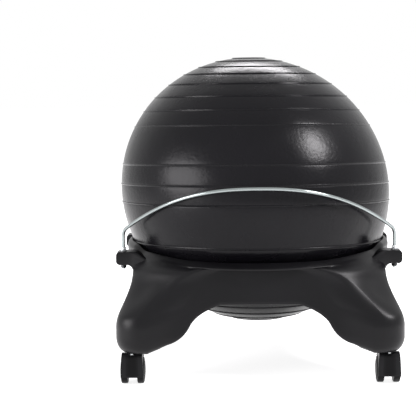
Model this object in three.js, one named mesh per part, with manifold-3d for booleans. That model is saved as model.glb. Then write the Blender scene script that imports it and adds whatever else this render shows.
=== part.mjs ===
// Balance ball chair: an inflated ridged ball held in a four-legged moulded base on twin-wheel casters,
// with a bent steel bar in front of the ball. Millimetres, +Z up, the front faces -Y, and the origin is
// on the floor under the middle of the chair.
import * as THREE from 'three';
import { mergeVertices } from 'three/addons/utils/BufferGeometryUtils.js';
import Module from 'manifold-3d';

const wasm = await Module();
wasm.setup();

// Shared clearances
const seatGap = 0.3;
const runningGap = 0.9;
const cutOverrun = 2;

// Ball: a hollow vinyl ball a little flattened by its own weight, with raised rings round its axis
const ballWidth = 524;
const ballHeight = 514;
const ballWall = 3;
const ridgeHeight = 1.3;
const ridgeWidth = 5.2;
const ballSides = 28;
const ballLiningSides = 20;
const ballLiningRings = 8;
const capRidgeCount = 8;
const firstRidgeAngle = THREE.MathUtils.degToRad(7);
const ridgePitchAngle = THREE.MathUtils.degToRad(7.76);
const waistRidgeCount = 3;
const waistPitchAngle = THREE.MathUtils.degToRad(8.2);
const waistAngle = THREE.MathUtils.degToRad(87);

// Air plug: a soft stopper pushed into the valve hole at the bottom of the ball
const plugStemRadius = 4.6;
const plugStemLength = 15;
const plugTipRadius = 3.4;
const plugFlangeRadius = 9.5;
const plugFlangeThickness = 1.8;
const plugNeckRadius = 3.9;
const plugSides = 16;

// Base, the round rim in which the ball sits: its lip stands highest at the two sides
const lipHeightFront = 223.5;
const saddleRise = 23.5;
const ballCentreAboveLip = 113.5;
const seatDepth = 20.5;
const seatMiddleShare = 0.5;
const seatSlack = 0.3;
const rimWidth = 19.5;
const rimEdgeDropFront = 2;
const rimEdgeDropSide = 14;
const rimBand = 6.5;
const rimEdgeSetback = 1.2;
const crownRise = 2.2;
const crownRunFront = 3;
const crownRunSide = 2.4;
const shoulderInsetFront = 3.5;
const shoulderInsetSide = 0.4;
const shoulderDropFront = 2.2;
const shoulderDropSide = 4.5;
const rimRiseStart = THREE.MathUtils.degToRad(36);
const rimRiseEnd = THREE.MathUtils.degToRad(70);
const saddleStart = THREE.MathUtils.degToRad(50);
const saddleEnd = THREE.MathUtils.degToRad(80);
const bandFadeStart = THREE.MathUtils.degToRad(21);
const bandFadeEnd = THREE.MathUtils.degToRad(31);

// Base, the flat skirt panels and the arch under each of them
const panelInset = 22;
const panelDraftShare = 0.12;
const skirtDepth = 65;
const skirtEdgeRun = 4;
const skirtEdgeRise = 6;
const archFootInset = 58;
const archToeRun = 37;
const archToeRise = 16.5;
const archHeelRun = 29;
const archHeelRise = 8.5;
const archKneeRun = 13;
const archKneeRise = 27.5;
const archShoulderRun = 13;
const archShoulderRise = 21.5;
const archCornerRun = 41;
const archSteps = 6;

// Base, the legs that swell from the rim to the feet
const footBottomHeight = 62;
const neckSwell = 3;
const footFlare = 26;
const footCornerRadius = 45;
const footEdgeRun = 19;
const footEdgeRise = 28;
const flareTopDrop = 23;
const flareBottomRise = 46;
const creaseStartX = 98;
const creaseDrop = 85;
const creaseBendShare = 0.55;
const scoopTopShare = 0.08;
const scoopShare = 0.25;
const scoopTopDrop = 37;
const scoopBottomDrop = 95;
const scoopBottomRise = 50;
const bulgeStartShare = 0.6;
const legSteps = 3;
const levelShares = [0, 0.11, 0.24, 0.39, 0.57, 0.77, 0.92, 1];

// Base, the inner wall of the double-skinned moulding
const skirtThickness = 46;
const footThickness = 60;
const innerCornerRadius = 8;
const innerShoulderDrop = 50;
const innerShoulderShare = 0.5;

// Lugs: four blocks on the sides of the rim that take the bar ends
const lugReach = 12.5;
const lugLength = 63.5;
const lugBearing = THREE.MathUtils.degToRad(28.2);
const lugDepth = 34;
const lugHeight = 25;
const lugCornerRadius = 7;
const lugFilletRadius = 11;
const lugBevel = 1.5;
const lugArcSteps = 3;
const lugRootDepth = 5;
const lugRootSides = 40;
const lugWebInset = 4.5;
const lugWebOverlap = 10;
const lugWebDepth = 24;
const lugWebRun = 64;
const lugWebDrop = 8;

// Bar: bent steel rod with a nut and a washer on each side of both front lugs
const rodDiameter = 6.4;
const rodSides = 4;
const rodEdgeDistance = 13.1;
const barLegHeight = 38;
const barBowHeight = 95;
const barBowPower = 2.4;
const barBendSetback = 11;
const barEndBelowLug = 9;
const barArcPoints = 16;
const barPathSteps = 54;
const rodHoleGap = 0.4;
const washerRadius = 6.5;
const washerThickness = 1.2;
const nutAcrossFlats = 10;
const nutHeight = 5;
const fastenerSides = 12;
const nutSides = 6;

// Casters: hooded twin wheels on grip stems, all trailing to the rear
const stemInsetX = 29;
const stemInsetY = 36.6;
const casterTrail = 18;
const wheelRadius = 24.5;
const wheelInnerX = 8.6;
const wheelTreadEndX = 19.2;
const wheelRimX = 20.6;
const wheelRimRadius = 23.2;
const wheelFaceX = 22;
const wheelFaceRadius = 17;
const wheelCapX = 23;
const wheelCapRadius = 8;
const wheelBoreDepth = 8.5;
const wheelSides = 16;
const axleRadius = 3;
const axleGap = 0.25;
const axleSides = 8;
const hoodHalfWidth = 20.9;
const hoodTopHalfWidth = 18.6;
const hoodTaperHeight = 36;
const hoodTopCorner = 9;
const hoodTopBack = 6;
const hoodWall = 2.6;
const hoodWheelGap = 1.1;
const hoodRearAngle = THREE.MathUtils.degToRad(60);
const hoodFrontAngle = THREE.MathUtils.degToRad(198);
const hoodBevel = 1.2;
const hoodArcSteps = 3;
const hoodDipRadius = 12;
const hoodDipDepth = 3;
const webHalfWidth = 7.8;
const webRadius = 13.5;
const stemRadius = 5.2;
const stemReach = 36;
const stemSeatDepth = 14;
const stemGrooveDepth = 0.9;
const stemGrooveWidth = 4;
const stemGrooveDrop = 8;
const stemTipChamfer = 1.6;
const stemSides = 10;
const socketInnerRadius = 5.6;
const socketWall = 1.9;
const socketLength = 44;
const socketFlangeRadius = 9.5;
const socketFlangeThickness = 1.4;

// Sizes worked out from the named ones
const ballRadius = ballWidth / 2;
const ballPoleRadius = ballHeight / 2;
const ballCentreHeight = lipHeightFront + ballCentreAboveLip;
const lipHeightSide = lipHeightFront + saddleRise;
const seatBottomHeight = lipHeightFront - seatDepth;
const seatMiddleHeight = lerp(seatBottomHeight, lipHeightSide, seatMiddleShare);
const rimEdgeFront = lipHeightFront - rimEdgeDropFront;
const rimEdgeSide = lipHeightSide - rimEdgeDropSide;
const rimRadius = seatRadius(rimEdgeFront) + rimWidth;
const panelTopHeight = rimEdgeFront - rimBand;
const panelTopOffset = rimRadius - panelInset;
const skirtBottomHeight = panelTopHeight - skirtDepth;
const neckHalfWidth = panelTopOffset + neckSwell;
const footHalfWidth = neckHalfWidth + footFlare;
const creaseEndX = footHalfWidth - footCornerRadius;
const innerShoulderHeight = panelTopHeight - innerShoulderDrop;
const lugOuterX = rimRadius + lugReach;
const lugInnerX = lugOuterX - lugLength;
const lugCentreY = rimRadius * Math.sin(lugBearing);
const lugTopHeight = rimEdgeSide;
const barHalfSpan = lugOuterX - rodEdgeDistance;
const barCornerHeight = lugTopHeight + barLegHeight;
const barApexHeight = barCornerHeight + barBowHeight;
const stemX = footHalfWidth - stemInsetX;
const stemY = footHalfWidth - stemInsetY;
const hoodTopHeight = footBottomHeight - socketFlangeThickness - 2 * seatGap;

// General helpers
function smooth(value) {
  const t = THREE.MathUtils.clamp(value, 0, 1);
  return t * t * (3 - 2 * t);
}

function lerp(a, b, t) {
  return a + (b - a) * t;
}

// One closed shell with shared corners and without the slivers that collapse on an axis
function weld(geometry) {
  const bare = geometry.index ? geometry.clone() : geometry;
  bare.deleteAttribute('normal');
  bare.deleteAttribute('uv');
  const merged = mergeVertices(bare);
  const kept = [];
  for (let i = 0; i < merged.index.count; i += 3) {
    const [a, b, c] = [0, 1, 2].map((k) => merged.index.getX(i + k));
    if (a !== b && b !== c && a !== c) kept.push(a, b, c);
  }
  merged.setIndex(kept);
  return merged;
}

function toSolid(geometry) {
  const closed = weld(geometry);
  const vertProperties = Float32Array.from(closed.attributes.position.array);
  const triVerts = Uint32Array.from(closed.index.array);
  return new wasm.Manifold(new wasm.Mesh({ numProp: 3, vertProperties, triVerts }));
}

function toGeometry(solid) {
  const mesh = solid.getMesh();
  const geometry = new THREE.BufferGeometry();
  geometry.setAttribute('position', new THREE.BufferAttribute(mesh.vertProperties, 3));
  geometry.setIndex(Array.from(mesh.triVerts));
  return geometry;
}

// Joins the first solids and cuts the others away
function combine(joined, cut) {
  let solid = toSolid(joined[0]);
  for (const extra of joined.slice(1)) solid = solid.add(toSolid(extra));
  for (const tool of cut) solid = solid.subtract(toSolid(tool));
  return toGeometry(solid);
}

function material(color, roughness, metalness) {
  return new THREE.MeshStandardMaterial({ color, roughness, metalness });
}

function part(name, geometry, look) {
  const mesh = new THREE.Mesh(weld(geometry), look.clone());
  mesh.name = name;
  return mesh;
}

// Turned piece about the vertical axis, from [radius, height] pairs
function turned(profile, sides) {
  const points = profile.map(([radius, height]) => new THREE.Vector2(radius, height));
  const geometry = new THREE.LatheGeometry(points, sides);
  geometry.rotateX(Math.PI / 2);
  return geometry;
}

function closedRing(profile, sides) {
  return turned([...profile, profile[0]], sides);
}

function verticalCylinder(radius, bottom, top, sides) {
  return turned([[0, bottom], [radius, bottom], [radius, top], [0, top]], sides);
}

// Cylinder across the chair, between two X places
function crossCylinder(radius, startX, endX, sides) {
  const geometry = verticalCylinder(radius, startX, endX, sides);
  geometry.rotateY(Math.PI / 2);
  return geometry;
}

// Ball
function ballPoint(angle, rise) {
  const radius = (ballRadius + rise) * Math.sin(angle);
  return [radius, ballCentreHeight + (ballPoleRadius + rise) * Math.cos(angle)];
}

function ridgeAngles() {
  const angles = [];
  for (let i = 0; i < capRidgeCount; i += 1) {
    const angle = firstRidgeAngle + i * ridgePitchAngle;
    angles.push(angle, 2 * waistAngle - angle);
  }
  for (let i = 0; i < waistRidgeCount; i += 1) {
    angles.push(waistAngle + (i - (waistRidgeCount - 1) / 2) * waistPitchAngle);
  }
  return angles.sort((a, b) => b - a);
}

const plugHoleRadius = plugStemRadius + seatGap;

function ballGeometry() {
  const halfRidge = ridgeWidth / 2 / ballRadius;
  const holeAngle = Math.PI - Math.asin(plugHoleRadius / ballRadius);
  const profile = [ballPoint(holeAngle, 0)];
  let last = holeAngle;
  for (const angle of ridgeAngles()) {
    const plain = last - angle;
    if (plain > 1.5 * ridgePitchAngle) profile.push(ballPoint(last - plain / 2, 0));
    profile.push(ballPoint(angle + halfRidge, 0));
    profile.push(ballPoint(angle, ridgeHeight));
    profile.push(ballPoint(angle - halfRidge, 0));
    last = angle;
  }
  profile.push(ballPoint(0, 0));
  const shell = toSolid(turned([[0, profile[0][1]], ...profile], ballSides));
  const lining = [[0, ballPoint(holeAngle, -ballWall)[1]]];
  for (let i = 0; i <= ballLiningRings; i += 1) {
    lining.push(ballPoint(lerp(holeAngle, 0, i / ballLiningRings), -ballWall));
  }
  const hollow = toSolid(turned(lining, ballLiningSides));
  const floor = ballCentreHeight - ballPoleRadius;
  const holeTop = floor + ballWall + cutOverrun;
  const hole = toSolid(verticalCylinder(plugHoleRadius, floor - cutOverrun, holeTop, plugSides));
  return toGeometry(shell.subtract(hollow).subtract(hole));
}

function plugGeometry() {
  const floor = ballCentreHeight - ballPoleRadius - seatGap;
  const flange = floor - plugFlangeThickness;
  return turned([
    [0, flange],
    [plugFlangeRadius - plugFlangeThickness, flange],
    [plugFlangeRadius, floor - plugFlangeThickness / 2],
    [plugFlangeRadius, floor],
    [plugNeckRadius, floor],
    [plugNeckRadius, floor + ballWall],
    [plugStemRadius, floor + ballWall + plugFlangeThickness],
    [plugTipRadius, floor + plugStemLength],
    [0, floor + plugStemLength],
  ], plugSides);
}

// Base: every station round the chair has one closed loop of points, from the crown of the rim down
// the outside, under the edge and up the inside to the seat.
function legLevel(share) {
  return lerp(panelTopHeight, footBottomHeight, share);
}

function panelOffset(height) {
  return panelTopOffset + panelDraftShare * (panelTopHeight - height);
}

// How far the rounded bottom edge draws the wall in, where the wall stands above its bottom; the
// rounding grows from the skirt (foot = 0) to the feet (foot = 1)
function edgeInset(above, foot) {
  const share = 1 - THREE.MathUtils.clamp(above / lerp(skirtEdgeRise, footEdgeRise, foot), 0, 1);
  return lerp(skirtEdgeRun, footEdgeRun, foot) * (1 - Math.sqrt(1 - share ** 2));
}

function legHalfWidth(height) {
  const top = panelTopHeight - flareTopDrop;
  const flare = smooth((top - height) / (top - footBottomHeight - flareBottomRise));
  return Math.max(panelOffset(height), lerp(neckHalfWidth, footHalfWidth, flare));
}

function creaseX(height) {
  const drop = (panelTopHeight - height) / creaseDrop;
  return lerp(creaseStartX, creaseEndX, THREE.MathUtils.clamp(drop, 0, 1) ** creaseBendShare);
}

// How far the corner of a leg is hollowed between its creases: little under the rim, most on the neck
function scoop(height) {
  const drop = panelTopHeight - height;
  const share = lerp(scoopTopShare, scoopShare, smooth(drop / scoopTopDrop));
  return share * smooth((scoopBottomDrop - drop) / scoopBottomRise);
}

// Lower edge of a panel from the end of its level stretch to the foot
function archPath() {
  const foot = new THREE.Vector2(footHalfWidth - archFootInset, footBottomHeight);
  const toe = new THREE.Vector2(foot.x - archToeRun, foot.y + archToeRise);
  const heel = new THREE.Vector2(toe.x - archHeelRun, toe.y + archHeelRise);
  const knee = new THREE.Vector2(heel.x - archKneeRun, heel.y + archKneeRise);
  const shoulder = new THREE.Vector2(knee.x - archShoulderRun, knee.y + archShoulderRise);
  const path = new THREE.Path();
  path.moveTo(shoulder.x - archCornerRun, skirtBottomHeight);
  path.quadraticCurveTo(shoulder.x, shoulder.y, knee.x, knee.y);
  path.quadraticCurveTo(heel.x, heel.y, toe.x, toe.y);
  path.lineTo(foot.x, foot.y);
  return path;
}

// Outer surface of a panel station: a is along the panel, b is out from the chair's axis
function panelPoint(station, share) {
  const level = legLevel(share);
  const height = lerp(panelTopHeight, station.archHeight, share);
  const bulge = smooth((station.share - bulgeStartShare) / (1 - bulgeStartShare));
  const swell = (legHalfWidth(level) - panelOffset(level)) * bulge;
  const inset = edgeInset(height - station.archHeight, bulge);
  return { a: station.share * creaseX(level), b: panelOffset(height) + swell - inset, z: height };
}

// Outer surface of a leg station: the corner between two panels, scooped below the rim
function legPoint(station, share) {
  const level = legLevel(share);
  const centre = creaseX(level);
  const radius = legHalfWidth(level) - edgeInset(level - footBottomHeight, 1) - centre;
  const reach = radius * (1 - scoop(level) * Math.sin(2 * station.turn));
  return { a: centre + reach * Math.cos(station.turn), b: centre + reach * Math.sin(station.turn), z: level };
}

function innerPoint(station) {
  const corner = footHalfWidth - footThickness - innerCornerRadius;
  if (station.turn !== undefined) {
    const a = corner + innerCornerRadius * Math.cos(station.turn);
    return { a, b: corner + innerCornerRadius * Math.sin(station.turn) };
  }
  const bulge = smooth((station.share - bulgeStartShare) / (1 - bulgeStartShare));
  const outside = lerp(panelOffset(station.archHeight), footHalfWidth, bulge);
  const wall = lerp(skirtThickness, footThickness, bulge);
  return { a: station.share * lerp(creaseEndX, corner, bulge), b: outside - wall };
}

function seatRadius(height) {
  const reach = ridgeHeight + runningGap;
  const rise = (height - ballCentreHeight) / (ballPoleRadius + reach);
  return (ballRadius + reach) * Math.sqrt(1 - rise ** 2);
}

function between(from, to, share) {
  return { a: lerp(from.a, to.a, share), b: lerp(from.b, to.b, share), z: lerp(from.z, to.z, share) };
}

// The points of one station's loop; fromFront is the angle round the axis from the nearer of front and
// rear, which sets how high the rim stands
function stationLoop(station, acrossFront) {
  const outside = station.turn === undefined ? panelPoint : legPoint;
  const top = outside(station, 0);
  const angle = Math.atan2(top.a, top.b);
  const fromFront = acrossFront ? angle : Math.PI / 2 - angle;
  const saddle = smooth((fromFront - saddleStart) / (saddleEnd - saddleStart));
  const rise = smooth((fromFront - rimRiseStart) / (rimRiseEnd - rimRiseStart));
  const edge = lerp(rimEdgeFront, rimEdgeSide, rise);
  const lip = lerp(lipHeightFront, lipHeightSide, saddle);
  const crownRun = lerp(crownRunFront, crownRunSide, saddle);
  const shoulder = rimRadius - lerp(shoulderInsetFront, shoulderInsetSide, saddle);
  const shoulderDrop = lerp(shoulderDropFront, shoulderDropSide, saddle);
  const fade = smooth((angle - bandFadeStart) / (bandFadeEnd - bandFadeStart));
  const polar = (radius, z) => ({ a: radius * Math.sin(angle), b: radius * Math.cos(angle), z });
  const bandTop = polar(rimRadius, edge);
  const bandBottom = polar(rimRadius - rimEdgeSetback, edge - rimBand + rimEdgeSetback);
  const loop = [
    polar(seatRadius(lip) + crownRun, lip + crownRise),
    polar(shoulder, lip + crownRise - shoulderDrop),
    bandTop,
    between(bandBottom, between(bandTop, top, 1 / 2), fade),
  ];
  for (const share of levelShares) loop.push(outside(station, share));
  const inner = innerPoint(station);
  const bottom = outside(station, 1).z;
  const seatPoint = (z) => polar(seatRadius(z) + seatSlack, z);
  const seat = seatPoint(seatBottomHeight);
  loop.push({ ...inner, z: bottom });
  loop.push({ ...inner, z: (bottom + innerShoulderHeight) / 2 });
  loop.push({
    a: lerp(inner.a, seat.a, innerShoulderShare),
    b: lerp(inner.b, seat.b, innerShoulderShare),
    z: innerShoulderHeight,
  });
  loop.push(seat, seatPoint(lerp(seatBottomHeight, lip, seatMiddleShare)), seatPoint(lip));
  return loop;
}

// Stations of one eighth of the base, from the middle of a panel to the diagonal
function eighthStations() {
  const arch = archPath();
  const stations = [{ share: 0, archHeight: skirtBottomHeight }];
  for (let i = 0; i <= archSteps; i += 1) {
    const point = arch.getPoint(i / archSteps);
    stations.push({ share: point.x / creaseEndX, archHeight: point.y });
  }
  for (let i = 0; i <= legSteps; i += 1) {
    stations.push({ turn: Math.PI / 2 - (Math.PI / 4) * (i / legSteps) });
  }
  return stations;
}

function baseLoft() {
  const stations = eighthStations();
  const loops = [];
  for (let side = 0; side < 4; side += 1) {
    const turn = (side * Math.PI) / 2;
    const place = (loop, mirror) => loop.map(({ a, b, z }) => {
      const point = new THREE.Vector3(mirror * a, -b, z);
      return point.applyAxisAngle(new THREE.Vector3(0, 0, 1), turn);
    });
    const acrossFront = side % 2 === 0;
    const before = stations.slice(1).reverse();
    for (const station of before) loops.push(place(stationLoop(station, acrossFront), -1));
    for (const station of stations.slice(0, -1)) loops.push(place(stationLoop(station, acrossFront), 1));
  }
  const count = loops[0].length;
  const positions = loops.flat().flatMap((point) => point.toArray());
  const index = [];
  for (let i = 0; i < loops.length; i += 1) {
    const next = (i + 1) % loops.length;
    for (let j = 0; j < count; j += 1) {
      const up = (j + 1) % count;
      const [a, b, c, d] = [i * count + j, next * count + j, next * count + up, i * count + up];
      index.push(a, d, b, b, d, c);
    }
  }
  const geometry = new THREE.BufferGeometry();
  geometry.setAttribute('position', new THREE.Float32BufferAttribute(positions, 3));
  geometry.setIndex(index);
  return geometry;
}

// The room of the seat, grown outwards, that keeps the lugs' roots inside the rim's own material
function seatPlug(growth) {
  const profile = [[0, seatBottomHeight - lugHeight]];
  for (const height of [seatBottomHeight - lugHeight, seatBottomHeight, seatMiddleHeight, lipHeightSide]) {
    profile.push([seatRadius(height) + growth, height]);
  }
  return turned([...profile, [0, lipHeightSide]], lugRootSides);
}

// Lug outline in the front view, with its fillet down to the neck of the leg
function lugShape(outer) {
  const top = lugTopHeight - lugBevel;
  const under = lugTopHeight - lugHeight + lugBevel;
  const quarter = Math.PI / 2;
  const shape = new THREE.Shape();
  shape.moveTo(lugInnerX, top);
  shape.lineTo(outer - lugCornerRadius, top);
  shape.absarc(outer - lugCornerRadius, top - lugCornerRadius, lugCornerRadius, quarter, 0, true);
  shape.lineTo(outer, under + lugCornerRadius);
  shape.absarc(outer - lugCornerRadius, under + lugCornerRadius, lugCornerRadius, 0, -quarter, true);
  shape.lineTo(neckHalfWidth + lugFilletRadius, under);
  const filletX = neckHalfWidth + lugFilletRadius;
  shape.absarc(filletX, under - lugFilletRadius, lugFilletRadius, quarter, Math.PI, false);
  shape.lineTo(lugInnerX, under - lugFilletRadius);
  return shape;
}

function lugGeometry(sideX, sideY) {
  const geometry = new THREE.ExtrudeGeometry(lugShape(lugOuterX - lugBevel), {
    depth: lugDepth - 2 * lugBevel,
    bevelThickness: lugBevel,
    bevelSize: lugBevel,
    bevelSegments: 1,
    curveSegments: lugArcSteps,
  });
  geometry.rotateX(Math.PI / 2);
  geometry.translate(0, lugCentreY + lugDepth / 2 - lugBevel, 0);
  return placed(geometry, sideX, sideY);
}

// Web from the end face of a lug to the corner of the leg: the lug's outline again, drawn inwards
function lugWebGeometry(sideX, sideY) {
  const depth = lugWebOverlap + lugWebDepth;
  const shape = lugShape(lugOuterX - lugWebInset);
  const geometry = new THREE.ExtrudeGeometry(shape, {
    depth, curveSegments: lugArcSteps, bevelEnabled: false,
  });
  const slant = new THREE.Matrix4().makeShear(0, 0, 0, 0, lugWebRun / depth, lugWebDrop / depth);
  geometry.applyMatrix4(slant);
  geometry.translate(-lugWebRun, -lugWebDrop, 0);
  geometry.rotateX(Math.PI / 2);
  geometry.translate(0, lugCentreY + lugDepth / 2 + lugWebDepth, 0);
  return placed(geometry, sideX, sideY);
}

// Copy of a geometry mirrored into one of the four corners
function placed(geometry, sideX, sideY) {
  const copy = geometry.clone();
  copy.scale(sideX, sideY, 1);
  if (sideX * sideY < 0) {
    const source = weld(copy);
    const flipped = [];
    for (let i = 0; i < source.index.count; i += 3) {
      flipped.push(source.index.getX(i), source.index.getX(i + 2), source.index.getX(i + 1));
    }
    source.setIndex(flipped);
    return source;
  }
  return copy;
}

const corners = [
  { name: 'front_left', x: -1, y: -1 },
  { name: 'front_right', x: 1, y: -1 },
  { name: 'rear_left', x: -1, y: 1 },
  { name: 'rear_right', x: 1, y: 1 },
];

const socketOuterRadius = socketInnerRadius + socketWall;
const socketTop = footBottomHeight + socketLength;

function baseGeometry() {
  let base = toSolid(baseLoft());
  const lugRoot = toSolid(seatPlug(lugRootDepth));
  const cut = [];
  for (const corner of corners) {
    const web = toSolid(lugWebGeometry(corner.x, corner.y));
    const lug = toSolid(lugGeometry(corner.x, corner.y)).add(web);
    base = base.add(lug.subtract(lugRoot));
    const rodHole = verticalCylinder(
      rodDiameter / 2 + rodHoleGap, lugTopHeight - 2 * lugHeight, lugTopHeight + cutOverrun, fastenerSides,
    );
    rodHole.translate(corner.x * barHalfSpan, corner.y * lugCentreY, 0);
    const socketHole = verticalCylinder(
      socketOuterRadius + seatGap, footBottomHeight - cutOverrun, socketTop + seatGap, stemSides,
    );
    socketHole.translate(corner.x * stemX, corner.y * stemY, 0);
    cut.push(rodHole, socketHole);
  }
  for (const tool of cut) base = base.subtract(toSolid(tool));
  return toGeometry(base);
}

// Bar: straight legs up from the lugs, then one bow in a tilted plane round the front of the ball
function barPath() {
  const bottom = lugTopHeight - lugHeight - barEndBelowLug;
  const bow = (x) => {
    const t = Math.abs(x / barHalfSpan) ** barBowPower;
    const height = lerp(barApexHeight, barCornerHeight, t);
    const clear = seatRadius(height) + rodDiameter / 2;
    const apexReach = seatRadius(barApexHeight) + rodDiameter / 2;
    const reach = Math.max(lerp(apexReach, lugCentreY, t), Math.sqrt(Math.max(0, clear ** 2 - x ** 2)));
    return new THREE.Vector3(x, -reach, height);
  };
  const half = [
    new THREE.Vector3(-barHalfSpan, -lugCentreY, bottom),
    new THREE.Vector3(-barHalfSpan, -lugCentreY, lerp(bottom, barCornerHeight, 1 / 2)),
    new THREE.Vector3(-barHalfSpan, -lugCentreY, barCornerHeight - 2 * barBendSetback),
    new THREE.Vector3(-barHalfSpan, -lugCentreY, barCornerHeight - barBendSetback),
  ];
  const start = barHalfSpan - barBendSetback / 2;
  for (let i = 0; i < barArcPoints; i += 1) half.push(bow(-start * (1 - i / barArcPoints)));
  const mirrored = half.map((point) => new THREE.Vector3(-point.x, point.y, point.z)).reverse();
  return new THREE.CatmullRomCurve3([...half, bow(0), ...mirrored], false, 'centripetal');
}

function barGeometry() {
  const section = new THREE.Shape();
  section.absarc(0, 0, rodDiameter / 2, 0, 2 * Math.PI, false);
  return new THREE.ExtrudeGeometry(section, {
    steps: barPathSteps, extrudePath: barPath(), curveSegments: rodSides, bevelEnabled: false,
  });
}

function ringBetween(radius, bottom, top, sides, hole) {
  const joined = [verticalCylinder(radius, bottom, top, sides)];
  return combine(joined, [verticalCylinder(hole, bottom - cutOverrun, top + cutOverrun, fastenerSides)]);
}

function barFasteners(sideX, label) {
  const hole = rodDiameter / 2 + seatGap;
  const nutRadius = nutAcrossFlats / 2 / Math.cos(Math.PI / nutSides);
  const topSeat = lugTopHeight + seatGap;
  const lowSeat = lugTopHeight - lugHeight - seatGap;
  const topNut = topSeat + washerThickness + seatGap;
  const lowNut = lowSeat - washerThickness - seatGap;
  const topWasher = ringBetween(washerRadius, topSeat, topSeat + washerThickness, fastenerSides, hole);
  const lowWasher = ringBetween(washerRadius, lowSeat - washerThickness, lowSeat, fastenerSides, hole);
  const topHex = ringBetween(nutRadius, topNut, topNut + nutHeight, nutSides, hole);
  const lowHex = ringBetween(nutRadius, lowNut - nutHeight, lowNut, nutSides, hole);
  const pieces = [
    part(`upper_washer_${label}`, topWasher, zinc),
    part(`upper_nut_${label}`, topHex, zinc),
    part(`lower_washer_${label}`, lowWasher, zinc),
    part(`lower_nut_${label}`, lowHex, blackSteel),
  ];
  for (const piece of pieces) piece.position.set(sideX * barHalfSpan, -lugCentreY, 0);
  return pieces;
}

// Caster pieces, with the stem's axis at x = 0, y = 0 and the floor at z = 0
function socketGeometry() {
  const flangeTop = footBottomHeight - seatGap;
  const flangeBottom = flangeTop - socketFlangeThickness;
  return closedRing([
    [socketInnerRadius, flangeBottom],
    [socketFlangeRadius, flangeBottom],
    [socketFlangeRadius, flangeTop],
    [socketOuterRadius, flangeTop],
    [socketOuterRadius, socketTop],
    [socketInnerRadius, socketTop],
  ], stemSides);
}

const stemRootHeight = hoodTopHeight - stemSeatDepth;

function stemGeometry() {
  const stemTop = footBottomHeight + stemReach;
  const grooveTop = stemTop - stemGrooveDrop;
  return turned([
    [0, stemRootHeight],
    [stemRadius, stemRootHeight],
    [stemRadius, grooveTop - stemGrooveWidth],
    [stemRadius - stemGrooveDepth, grooveTop - stemGrooveWidth],
    [stemRadius - stemGrooveDepth, grooveTop],
    [stemRadius, grooveTop],
    [stemRadius, stemTop - stemTipChamfer],
    [stemRadius - stemTipChamfer, stemTop],
    [0, stemTop],
  ], stemSides);
}

function wheelGeometry(side) {
  const bore = axleRadius + axleGap;
  const innerRim = wheelRadius - wheelRimX + wheelTreadEndX;
  const geometry = turned([
    [0, wheelInnerX + wheelBoreDepth],
    [bore, wheelInnerX + wheelBoreDepth],
    [bore, wheelInnerX],
    [innerRim, wheelInnerX],
    [wheelRadius, wheelInnerX + wheelRimX - wheelTreadEndX],
    [wheelRadius, wheelTreadEndX],
    [wheelRimRadius, wheelRimX],
    [wheelFaceRadius, wheelFaceX],
    [wheelCapRadius, wheelCapX],
    [0, wheelCapX],
  ], wheelSides);
  geometry.rotateY(Math.PI / 2);
  geometry.translate(0, casterTrail, wheelRadius);
  return placed(geometry, side, 1);
}

function axleGeometry() {
  const reach = wheelInnerX + wheelBoreDepth - seatGap;
  const geometry = crossCylinder(axleRadius, -reach, reach, axleSides);
  geometry.translate(0, casterTrail, wheelRadius);
  return geometry;
}

// Side view of the hood: round the boss of the axle, up the front of the wheels, over the stem and
// down behind it to the rear lip
function hoodShape() {
  const outer = wheelRadius + hoodWheelGap + hoodWall - hoodBevel;
  const front = casterTrail - outer;
  const top = hoodTopHeight - hoodBevel;
  const corner = front + hoodTopCorner;
  const shape = new THREE.Shape();
  const boss = webRadius - hoodBevel;
  shape.absarc(casterTrail, wheelRadius, boss, hoodFrontAngle, hoodRearAngle + 2 * Math.PI, false);
  shape.lineTo(casterTrail + outer * Math.cos(hoodRearAngle), wheelRadius + outer * Math.sin(hoodRearAngle));
  shape.lineTo(hoodTopBack, top);
  shape.lineTo(corner, top);
  shape.absarc(corner, top - hoodTopCorner, hoodTopCorner, Math.PI / 2, Math.PI, false);
  shape.absarc(casterTrail, wheelRadius, outer, Math.PI, hoodFrontAngle, false);
  return shape;
}

// The hood narrows a little above the wheels
function hoodBody() {
  const geometry = new THREE.ExtrudeGeometry(hoodShape(), {
    depth: 2 * (hoodHalfWidth - hoodBevel),
    bevelThickness: hoodBevel,
    bevelSize: hoodBevel,
    bevelSegments: 1,
    curveSegments: hoodArcSteps,
  });
  geometry.translate(0, 0, hoodBevel - hoodHalfWidth);
  geometry.rotateX(Math.PI / 2);
  geometry.rotateZ(Math.PI / 2);
  const places = geometry.attributes.position;
  for (let i = 0; i < places.count; i += 1) {
    const rise = (places.getZ(i) - hoodTaperHeight) / (hoodTopHeight - hoodTaperHeight);
    const width = lerp(1, hoodTopHalfWidth / hoodHalfWidth, THREE.MathUtils.clamp(rise, 0, 1));
    places.setX(i, width * places.getX(i));
  }
  return geometry;
}

function hoodGeometry() {
  let hood = toSolid(hoodBody());
  for (const side of [-1, 1]) {
    const wheelRoom = crossCylinder(
      wheelRadius + hoodWheelGap, webHalfWidth, wheelCapX + cutOverrun, wheelSides,
    );
    wheelRoom.translate(0, casterTrail, wheelRadius);
    hood = hood.subtract(toSolid(placed(wheelRoom, side, 1)));
  }
  const dip = verticalCylinder(hoodDipRadius, -wheelRadius, 2 * wheelRadius, wheelSides);
  dip.rotateX(-Math.PI / 2);
  dip.translate(0, 0, hoodTopHeight - hoodDipDepth + hoodDipRadius);
  const axleHole = crossCylinder(axleRadius + axleGap, -wheelCapX, wheelCapX, axleSides);
  axleHole.translate(0, casterTrail, wheelRadius);
  const stemHole = verticalCylinder(
    stemRadius + seatGap, stemRootHeight - seatGap, hoodTopHeight + cutOverrun, stemSides,
  );
  for (const tool of [dip, axleHole, stemHole]) hood = hood.subtract(toSolid(tool));
  return toGeometry(hood);
}

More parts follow.
